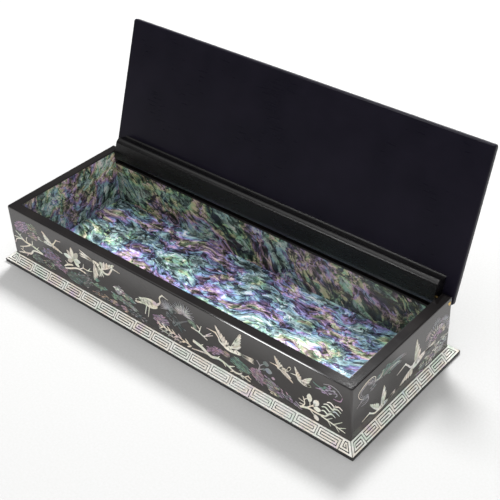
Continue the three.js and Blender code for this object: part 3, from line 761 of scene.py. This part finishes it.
def drawFront():
    p = Picture()
    # foliage, ground and rocks lie lowest
    for row in (
            ((10, 28), (6, 3.4), "violet violet pink", 0.8, 25),
            ((20.2, 31), (3.8, 2.0), "green green peach", 0.75, -12),
            ((19.5, 25.4), (3.4, 2.2), "peach pink slate", 0.7),
            ((33.5, 18.6), (7, 3.4), "violet blue violet slate", 0.75),
            ((41, 13.8), (6, 2.2), "violet pink slate", 0.6, -8),
            ((20.5, 10.6), (4.6, 2.6), "slate green deep", 0.6),
            ((31, 11.2), (4.4, 2.8), "green slate peach", 0.55),
            ((52, 11.6), (6, 3.4), "teal slate deep", 0.7),
            ((61, 14.2), (5.6, 4.2), "slate deep mist teal", 0.6, 20),
            ((73, 15.2), (5.4, 1.3), "green teal", 0.85, 6),
            ((73.5, 9.8), (7, 1.8), "slate peach deep", 0.5),
            ((89.5, 20.8), (4.6, 1.9), "mist pink white", 0.75, -10),
            ((97, 18.8), (3.6, 1.5), "teal mist", 0.7, -20),
            ((92, 14.6), (8.6, 1.5), "green teal mist", 0.85, -8),
            ((84, 9.8), (3, 1.7), "pink peach violet", 0.8),
            ((91.5, 9.6), (2.6, 1.5), "pink peach", 0.8),
            ((101, 9.6), (7, 1.6), "slate deep mist", 0.5),
            ((119, 16), (5, 3), "violet mist pink", 0.7, 14),
            ((130, 20.6), (6.5, 3), "slate deep", 0.5, -30),
            ((156.5, 15.6), (5.6, 2.1), "violet pink violet", 0.85, 22),
            ((164, 17.4), (2.4, 1.7), "peach pink", 0.8),
            ((173.5, 15.4), (6, 3.2), "teal green teal deep", 0.85, -16),
            ((184.5, 15), (4.6, 3.2), "violet pink mist", 0.75, -32),
            ((194, 13), (6.4, 3.2), "violet mist peach green", 0.6, -26),
            ((206, 10.8), (5, 1.6), "mist violet", 0.5, -20),
            ((200.5, 12.6), (5, 1.9), "violet pink mist", 0.5, -30),
            ((194.6, 9.2), (3, 1.1), "green warm", 0.8, -14)):
        p.shards(*row)
    # bare white tree at the left
    for points, *widths in (
            ([(26.3, 16), (21, 17.1), (16.7, 18), (12.3, 18), (7.9, 18.9), (1.8, 18.4)],
             0.7, 1.2, 1.1, 0.9, 0.4),
            ([(26.3, 15.7), (18.4, 14.9), (14.9, 11.4), (9.6, 9.7), (3.5, 7.7)], 0.8, 1.1, 1.2, 1.0, 0.5),
            ([(15.2, 17.4), (11, 14.8), (5.3, 12.3)], 1.0, 0.7, 0.3),
            ([(10.8, 18.2), (7, 21), (3.9, 22.8)], 1.0, 0.8, 0.5), ([(17.4, 17.8), (18.1, 21.7)], 0.8, 0.3),
            ([(7.9, 18.8), (3.5, 17), (1.6, 13.6)], 0.7, 0.6, 0.3),
            ([(13, 18), (12.6, 20.8), (14, 22.4)], 0.6, 0.3),
            ([(9.6, 9.8), (5.6, 11)], 0.6, 0.3), ([(12.4, 10.6), (10.8, 8)], 0.6, 0.3),
            ([(7, 20.8), (8.6, 22.6)], 0.5, 0.25), ([(21, 17), (23, 19.2)], 0.6, 0.25),
            ([(8, 12.9), (7.4, 10.9)], 0.5, 0.25)):
        p.stroke(points, widths, "cream")
    # cranes, from left to right
    p.crane((44.2, 32.6), (40.2, 31.8), [(38.7, 29.6)], (36.9, 27.0), (29.6, 26.2), (23.6, 26.9),
            [((28.4, 33.4), (31, 27.2), 0.1), ((44.9, 24.6), (33.4, 25.4), 0.05)], 2.6, 0.75)
    p.crane((91, 33), (85.2, 33.6), [(83.4, 30.4), (81.4, 27.9), (78.4, 27.3)], (76.4, 28.8), (70.4, 31.4),
            (59, 32.6), [((87.2, 36.4), (71.6, 33.4), 0.1), ((69.2, 18.1), (76.4, 26.8), 0.8)], 4.2, 1.15)
    p.fan((73.8, 31.0), -82, 8.6, 1.3, "cream", 5, 34)
    p.crane((125.9, 32.6), (121.9, 33.6), [(119.7, 31.2), (119.6, 27.6)], (116.6, 24.4), (105.4, 22.6),
            (101, 20.4), [((100.2, 19.4), (105.6, 26), 0.2)], 6.2, 0.9,
            legs=[((109.2, 20.6), (107.4, 14.3)), ((111.2, 20.6), (109.5, 13.2))])
    p.crane((151.8, 28.3), (157.7, 28.3), [(159.6, 26), (160.6, 23.6)], (163.6, 22.5), (173.4, 22.8),
            (183, 22.9), [((157.6, 33.2), (169.2, 24.4), 0.05), ((174.8, 36.4), (174, 24.2), 0.4)], 3.8, 0.95)
    p.crane((192.2, 28.4), (196.2, 28.6), [], (197.6, 27.7), (203, 29), (205, 32.3),
            [((195.2, 34.4), (202.4, 29.2), 0.15), ((206.6, 23), (203.2, 28.2), 0.1)], 2.3, 0.75)
    p.crane((204.8, 28.6), (208.2, 29.2), [], (209.6, 27.6), (214.2, 26), (217, 27.3),
            [((207.4, 34.5), (212.8, 27.8), 0.05), ((217.6, 32.8), (215.4, 26.8), 0.4)], 2.4, 0.75)
    # plum in flower
    p.branch([(52.2, 20.6), (47.6, 18.8), (44.6, 16.4)], [1.0, 1.2, 0.7], "white", [[(49, 19.2), (46, 20.8)]])
    p.branch([(62.6, 19.6), (56, 19.9), (49.1, 16.8), (44.8, 15.2)], [0.8, 1.0, 1.1, 0.6], "cream", [
        [(57, 20), (60.5, 22.4), (61.6, 25.6)], [(60.6, 22.6), (64.6, 22.4), (68.2, 23.6)],
        [(64.8, 22.4), (66.8, 25)]])
    plum = Vector((53.4, 24.8))
    for heading, reach, girth, colour in (
            (97, 7.2, 2.8, "cream"), (54, 6.6, 3.2, "shade"), (8, 5.4, 3.0, "cream"), (136, 5.8, 3.0, "shade"),
            (173, 7.2, 3.2, "cream"), (212, 5.2, 2.8, "shade"), (320, 5.0, 2.9, "cream")):
        away = Vector((math.cos(math.radians(heading)), math.sin(math.radians(heading))))
        p.fan(plum + away * 0.9, heading, reach, girth, colour)
    p.blossom(plum, 1.5, "warm", 20)
    # reeds and needles
    for x, y, colour in ((88, 17.4, "mist"), (94.5, 16.8, "green"), (84.5, 12.4, "green"), (99, 11.6, "mist"),
                         (71, 18, "teal"), (64, 18.8, "slate")):
        p.fan((x, y), 90, 3.6, needle, colour, 7, 110)
    for x, y, size, colour, tilt in ((135.8, 28.2, 8.6, "mist", 90), (135.8, 28.2, 6.4, "cream", 96),
                                     (125, 26.2, 6.2, "mist", 100), (141.6, 24.6, 3.6, "green", 60),
                                     (129.6, 26.6, 3.8, "slate", 120)):
        p.fan((x, y), tilt, size, needle, colour, 17, 190)
    p.stroke([(138.6, 25.4), (133, 21.6), (128.8, 17.2)], [0.5, 1.0, 0.6], "slate")
    p.branch([(141, 22.9), (146.3, 22.3), (151.8, 20)], [0.8, 0.9, 0.5], "white", [
        [(146.3, 22.3), (148.2, 27.4)], [(149.4, 21.4), (155.8, 25.2)], [(151.2, 23), (154.8, 26.2)],
        [(143, 22.8), (142.4, 25.4)], [(147.2, 24.6), (145, 26.6)]])
    p.branch([(117.4, 12.2), (124, 11.9), (131, 11), (140.2, 9.6)], [0.7, 0.7, 0.5], "cream",
             leaf=(3.9, 1.0, "cream", 142))
    p.branch([(117, 9.6), (125, 8.8), (133, 8.4)], [0.5, 0.5], "cream", leaf=(2.6, 0.8, "mist", 140))
    # gnarled branch
    p.branch([(141.4, 14.2), (147.2, 13), (153.3, 10.2), (158.6, 11.5), (163.9, 10.6), (169.1, 8.6), (173.5, 9),
              (179.4, 7.9)], [2.0, 2.2, 1.6, 1.4, 1.2, 1.1, 0.7], "cream", [
        [(146, 13.2), (148.6, 15.4)], [(161.6, 11.2), (163.4, 8.8)], [(150.6, 11.4), (148.4, 9.6)],
        [(172.6, 8.9), (175, 7.2)], [(157.4, 11), (159.6, 13.6)], [(165.4, 10.2), (169.4, 12.4)],
        [(168.6, 8.8), (166.2, 7.4)], [(175.6, 8.7), (178.4, 11.4)], [(178, 10.8), (180, 9.6)],
        [(172, 8.8), (174.2, 10.8)]])
    p.stroke([(140.2, 8.2), (147.4, 9.8), (152, 10.8)], [0.5, 1.0, 1.4], "cream")
    # twig with round leaves over the violet rock
    p.branch([(184.6, 18.4), (185.9, 22.4), (184, 25)], [0.7, 0.5], "mist", [
        [(185, 19.6), (189.4, 22.2)], [(185.8, 22.4), (188.6, 25)]])
    for place, size, colour in (((189.9, 25.8), 1.9, "slate"), ((191.4, 22), 2.2, "mist"),
                                ((194.2, 18.8), 1.1, "pink"), ((188.4, 21.4), 1.0, "slate")):
        p.oval(place, size, colour, 0.82)
    # cloud of shards at the right
    for points, colour in (
            ([(218, 31), (222, 29.8), (227, 31.6)], "teal"),
            ([(219.6, 28), (223.6, 28.9), (227, 27.6)], "violet"),
            ([(224, 33), (228, 34.4), (232, 33.6), (234.6, 31)], "mist"),
            ([(234.8, 30.4), (233.6, 27.6), (229.8, 27)], "violet"),
            ([(226, 30.2), (229.4, 31.6), (231.8, 30.4), (230.6, 28.6)], "mist")):
        p.cloud(points, colour, 0.6)
    p.shards((226.4, 30.2), (4.6, 2.2), "violet mist teal", 0.55, 16)
    # bush with round leaves and ferns
    p.branch([(210.2, 10.4), (215.6, 12.2), (221.8, 12.2), (225.4, 13.2)], [1.3, 1.2, 1.0, 0.8], "cream")
    p.branch([(211.4, 11), (213.2, 14), (212.2, 18.2)], [0.9, 0.6, 0.35], "cream", [
        [(213.1, 14.6), (209.6, 15.4)], [(212.8, 16.4), (214.6, 18.2)], [(212.6, 12.8), (209.8, 12.6)]])
    p.branch([(214, 11.8), (217.2, 14.8), (219.4, 17.6)], [0.8, 0.5], "cream", [
        [(216.4, 14), (216.2, 18)], [(217.6, 15), (219, 15.2)]])
    for place, heading, reach, girth in (((216.0, 16.8), 92, 5.4, 3.2), ((218.8, 16.4), 62, 4.9, 3.4),
                                         ((218.6, 14.4), 10, 4.4, 3.1), ((219.0, 10.4), 305, 3.8, 3.0)):
        p.fan(place, heading, reach, girth, "white")
    p.stroke([(216.6, 11.6), (219.6, 9.4)], [0.7, 0.5], "cream")
    stem = Vector((225.3, 13)), Vector((231.2, 23.6))
    p.stroke([stem[0], (228.8, 17.8), stem[1]], [0.9, 0.8, 0.5], "cream")
    for t, left, right in ((0.2, 3.4, 4.6), (0.42, 4.6, 5.6), (0.64, 4.8, 5.2), (0.86, 4.2, 4.6)):
        root = stem[0].lerp(stem[1], t)
        for side, reach in ((-1, left), (1, right)):
            half, end = Vector((side * reach * 0.55, reach * 0.34)), Vector((side * reach, reach * 0.12))
            p.stroke([root, root + half, root + end], [0.9, 0.8, 0.4], "white")
    p.branch([(222.8, 11.9), (229.6, 10.8), (236.8, 9.4)], [0.9, 0.8, 0.4], "cream", [
        [(226, 11.4), (229.4, 14.4)], [(230, 10.7), (235, 15.2)], [(233, 10.2), (237, 12.6)],
        [(231, 10.6), (233.4, 7.8)], [(226.6, 11.2), (228.6, 8.6)]])
    return p


def drawEnd():
    p = Picture()
    for row in (
            ((30, 30.4), (9, 2.6), "teal deep slate", 0.7, -6), ((17, 30), (4, 3), "mist slate", 0.4),
            ((68, 11.4), (13.5, 3.8), "mist violet shade white green", 0.55, 14),
            ((77, 14.6), (4.4, 2.0), "white mist", 0.55, -16),
            ((77.4, 24.4), (4.6, 4.0), "mist violet shade", 0.5, 12),
            ((70, 21.6), (4.2, 2.2), "violet mist", 0.45, 20)):
        p.shards(*row)
    # cloud
    for colour, *points in (
            ("white", (6.6, 27.8), (5.2, 30.2), (5.4, 32.4), (9, 34.2), (12.6, 35), (16.3, 34.6), (18.4, 33),
             (18, 30.2)), ("mist", (12, 34.8), (14.4, 32.4), (17.6, 31.9)), ("white", (6.6, 28), (9.2, 26)),
            ("mist", (4, 24), (8.6, 25.6), (12.4, 25.2), (13.2, 23.4), (11.4, 22.2), (7.6, 22.6)),
            ("white", (18.4, 31), (21.6, 29.6), (23.8, 31.2), (24.6, 33)),
            ("teal", (24, 30), (29, 31.6), (34, 30.2)), ("mist", (33.4, 32), (38, 31.6), (42.6, 30.6)),
            ("white", (30, 29), (35, 29.6), (38.6, 28.6))):
        p.cloud(points, colour, 0.5)
        # lines inside the round part, and under the trail
        for inner in (0.84, 0.68):
            if points[0][0] < 20:
                repeat = [(12 + (x - 12) * inner, 30 + (y - 30) * inner) for x, y in points]
            else:
                repeat = [(x + 1.2, y - (1 - inner) * 5) for x, y in points]
            p.cloud(repeat, "mist", 0.34)
    # crown of an old pine, in rows of short rays
    for near, far, start, end, colour in ((8.6, 11.6, 8, 150, "mist"), (5.4, 7.8, 14, 160, "white"),
                                          (2.6, 4.6, 20, 170, "violet")):
        count = round((end - start) / 100 * far)
        for k in range(count + 1):
            a = math.radians(start + (end - start) * k / count)
            ray = [(72 + r * math.cos(a), 20 + r * 0.95 * math.sin(a)) for r in (near, far)]
            p.stroke(ray, [0.42, 0.3], colour)
    for x, y, tilt in ((64.4, 25.6, 130), (71, 29.4, 100), (78, 26.8, 60), (80.4, 20.8, 20), (66, 20, 150)):
        p.fan((x, y), tilt, 3.8, needle, "mist", 9, 130)
    p.crane((8.6, 11.8), (14.6, 12.7), [(16.9, 10.8), (19.4, 9.3)], (21.9, 9.6), (29.2, 10.1), (36.4, 11.4),
            [((14.4, 18.6), (24.8, 11.8), 0.0), ((26.2, 22.2), (29.4, 12.2), 0.35)], 3.0, 0.95, colour="white")
    p.crane((36.6, 20.4), (43.8, 22.3), [(46.4, 19.6), (48.2, 17.4)], (50.2, 15.6), (60.6, 18), (72, 17.8),
            [((53.1, 32.2), (58.6, 19), 0.25), ((39.6, 11), (54.4, 10.6), 0.0)], 4.4, 1.0, colour="white")
    p.fan((76, 8.4), 90, 4.4, needle, "mist", 8, 120)
    p.fan((60, 7.6), 90, 4.0, needle, "slate", 8, 120)
    return p


def drawBack():
    # low panel under the hinge: rocks, pines and three cranes over waves of cloud
    p = Picture()
    for centre, size, colours, tilt in (
            ((16, 11), (11, 3.2), "teal slate deep", 8), ((38, 13.4), (7, 3), "violet mist pink", -14),
            ((66, 10.6), (10, 2.6), "green slate mist", 4), ((104, 12), (9, 3.4), "violet blue slate", 12),
            ((139, 10.4), (12, 2.6), "slate deep teal", -4), ((171, 12.8), (7, 3.2), "peach pink mist", 18),
            ((203, 11.4), (12, 3.2), "teal green deep", -8), ((229, 14), (6, 3.4), "violet mist", 10)):
        p.shards(centre, size, colours, 0.7, tilt)
    p.crane((22.4, 24.8), (27.2, 25.4), [(29.4, 23), (31.4, 21)], (34.2, 20.2), (42, 21), (50.4, 21.4),
            [((30.4, 28.6), (39, 22), 0.05), ((44.2, 29.2), (43.4, 22.4), 0.5)], 3.2, 0.85)
    p.crane((92.4, 22.6), (97, 23.6), [(99, 21.4)], (101.6, 19.6), (108.4, 20.4), (116, 22),
            [((98.6, 28.8), (106, 21), 0.05), ((111.6, 28.8), (110, 21.6), 0.5)], 2.9, 0.8)
    p.crane((196.6, 25.2), (191.8, 26), [(189.6, 23.6), (187.4, 21.8)], (184.6, 21), (177, 21.8), (168.6, 23),
            [((190.4, 28.8), (180, 22.6), 0.05), ((176, 29.2), (175.6, 23), 0.5)], 3.2, 0.85)
    for x, size in ((62, 6.4), (68.4, 5.4), (134, 6.2), (146, 5.8), (214, 6.2), (220.6, 5.2)):
        y = 18.6 + (x % 5)
        p.fan((x, y), 92, size, needle, chance.choice(["green", "mist", "teal"]), 17, 190)
        p.stroke([(x, y), (x - 1.4, y - 4), (x + 0.6, 8.4)], [0.5, 1.0, 1.5], "warm")
    for x in (9, 27, 83, 122, 158, 192, 234):
        p.fan((x, 8.2), 90, 4.4, needle, "mist", 7, 110)
    p.branch([(74, 8.4), (80, 12), (87, 14.2)], [1.4, 1.0, 0.5], "cream", [
        [(78, 11), (77.6, 15.4)], [(82.6, 12.9), (84.8, 17)], [(80, 12), (84.4, 10.6)]])
    for place, turn in (((77.4, 16.8), 20), ((85.4, 18.4), 60), ((88.4, 14.8), 0), ((85.6, 10.6), 40)):
        p.blossom(place, 1.8, "white", turn)
    for x in (54, 122, 158, 228):
        p.cloud([(x, 25.4), (x + 3, 27.2), (x + 6.4, 26.2), (x + 8, 24.2), (x + 5, 23.6)], "mist", 0.7)
        tail = [(6, 23.4), (9.6, 24.6), (13, 23.4)] if x < 220 else [(-6, 23.4), (-3, 24.6), (0, 23.4)]
        p.cloud([(x + along, y) for along, y in tail], "teal", 0.6)
    return p


def drawLid():
    # ten traditional signs of long life: sun, clouds, peaks, water, pines, cranes, stones and plum
    p = Picture()
    for inset, width, colour in ((5.2, 0.7, "white"), (7.1, 0.35, "mist")):
        x, y = boxSizes["length"] - inset, boxSizes["depth"] - inset
        corners = [(inset, inset), (x, inset), (x, y), (inset, y)]
        for a, b in zip(corners, corners[1:] + corners[:1]):
            p.stroke([a, b], [width, width], colour)
    # peaks and water
    for centre, size, colours, tilt in (
            ((30, 18), (18, 7), "teal slate deep mist", 12), ((62, 14), (17, 4.6), "violet mist slate", -4),
            ((104, 12.6), (18, 3.2), "green teal mist", 2), ((150, 14), (18, 4.4), "slate deep teal", 4),
            ((206, 20), (20, 9), "violet blue slate mist", -14),
            ((186, 12.4), (12, 3.4), "green peach mist", 0), ((221, 40), (8, 5), "violet pink mist", -40)):
        p.shards(centre, size, colours, 0.7, tilt)
    for row in range(4):
        for k in range(5):
            x, y = 84 + 15 * k + 5 * (row % 2), 18 + 2.6 * row
            p.cloud([(x, y), (x + 3, y + 0.9), (x + 6, y), (x + 9.4, y + 0.8)], ("mist", "teal")[row % 2], 0.5)
    # pine at the left
    p.branch([(27, 20), (31, 32), (27, 43), (33, 54), (44, 61)], [4.6, 3.6, 2.8, 2.0, 1.0], "warm", [
        [(28, 42), (18, 50), (13, 52)], [(31, 50), (22, 60), (19, 66)], [(30, 36), (42, 42), (52, 42)],
        [(38, 58), (46, 68)]])
    for x, y, size in ((13, 54, 7), (20, 67, 7), (29, 64, 6.4), (46, 69, 7), (52, 62, 7), (56, 44, 7.4),
                       (45, 46, 6), (19, 47, 5.6), (37, 68, 6), (63, 46, 5.4)):
        p.fan((x, y), 92, size, 0.42, chance.choice(["green", "mist", "teal", "green"]), 21, 205)
        p.fan((x, y), 92, size * 0.62, 0.42, "cream", 13, 190)
    # plum at the right
    p.branch([(232, 30), (222, 38), (212, 50), (200, 56), (188, 66)], [4.2, 3.2, 2.4, 1.6, 0.8], "warm", [
        [(216, 45), (222, 54), (224, 64)], [(207, 53), (206, 63), (210, 72)], [(200, 56), (192, 54), (184, 56)],
        [(222, 38), (212, 36), (205, 39)]])
    for x, y, turn in ((224, 66, 0), (220, 56, 30), (210, 73, 50), (205, 64, 10), (188, 67, 70), (196, 61, 20),
                       (183, 56, 40), (204, 39, 0), (212, 34, 60), (213, 52, 15), (229, 48, 33), (193, 52, 5)):
        p.blossom((x, y), 2.9, "white", turn)
    # sun and clouds
    p.blob([(120 + 5.4 * math.cos(k * 0.785), 66 + 5.4 * math.sin(k * 0.785)) for k in range(8)], "pink")
    for x, y in ((74, 66), (128, 58), (158, 70), (98, 72), (84, 32), (166, 34)):
        for colour, width, *points in (
                ("mist", 0.9, (0, 0), (3.4, 2.6), (8, 2.2), (11, -0.6), (8, -2), (4.6, -0.4)),
                ("teal", 0.7, (8, -2.4), (14, -1), (20, -2.2)), ("violet", 0.6, (-8, 0.6), (-3, -1), (2, 0.2))):
            p.cloud([(x + along, y + up) for along, up in points], colour, width)
    # cranes
    p.crane((84.6, 55), (92, 55.6), [(95, 52.4), (97, 49.4)], (101.4, 47.8), (113, 49.4), (127, 50.4),
            [((94.4, 66), (109.6, 50.6), 0.02), ((119.4, 67), (117.4, 52), 0.45)], 4.8, 1.25)
    p.crane((171, 45.4), (164.6, 47), [(161.6, 44), (158.6, 42)], (154.6, 41.4), (144.6, 43.4), (132.6, 46),
            [((162, 58), (148, 44.6), 0.02), ((141, 58.6), (141, 45.6), 0.45)], 4.4, 1.2)
    p.crane((88.6, 41.6), (83.2, 43), [(80.4, 40), (80.2, 36)], (77.4, 33), (66.4, 30.6), (61.6, 28.8),
            [((61.4, 27.8), (64.6, 33.4), 0.35)], 7.2, 1.15,
            legs=[((69.8, 29.2), (67.8, 19.6)), ((72, 29.2), (70.4, 18.4))])
    p.crane((165, 29.4), (170.4, 31.6), [(172.6, 28.8), (173, 25.6)], (175.4, 23.4), (184.6, 21.8), (190, 20),
            [((190, 19.2), (186.8, 24.8), 0.35)], 6, 1.05,
            legs=[((180.8, 20.4), (179.8, 12.6)), ((183, 20.4), (182.4, 11.8))])
    return p


# the lid's picture lies on its upper side: the hinge's axis in millimetres, how many degrees the lid
# has turned from closed, and the picture's corner as it lies from the axis when closed
lidSizes = {"hinge": (0, 39.5, 35.3184), "open": -108.8, "corner": (-120, -81.5, 6.9816)}
lidTop = (Matrix.Translation([v * mm for v in lidSizes["hinge"]])
          @ Matrix.Rotation(math.radians(lidSizes["open"]), 4, "X")
          @ Matrix.Translation([v * mm for v in lidSizes["corner"]]))
x, y = boxSizes["length"] / 2, boxSizes["depth"] / 2
faces = {
    "front_inlay": (drawFront, faceMatrix((-x, -y, 0), (1, 0, 0), (0, 0, 1)), "box", 1.0),
    "right_inlay": (drawEnd, faceMatrix((x, -y, 0), (0, 1, 0), (0, 0, 1)), "box", 1.0),
    "left_inlay": (drawEnd, faceMatrix((-x, y, 0), (0, -1, 0), (0, 0, 1)), "box", 1.0),
    "back_inlay": (drawBack, faceMatrix((x, y, 0), (-1, 0, 0), (0, 0, 1)), "box", 1.0),
    "lid_inlay": (drawLid, lidTop, "lid", 0.5),
}
for name, (draw, matrix, body, tone) in faces.items():
    layPicture(draw(), name, matrix, body, tone)
bpy.data.objects.remove(mark)
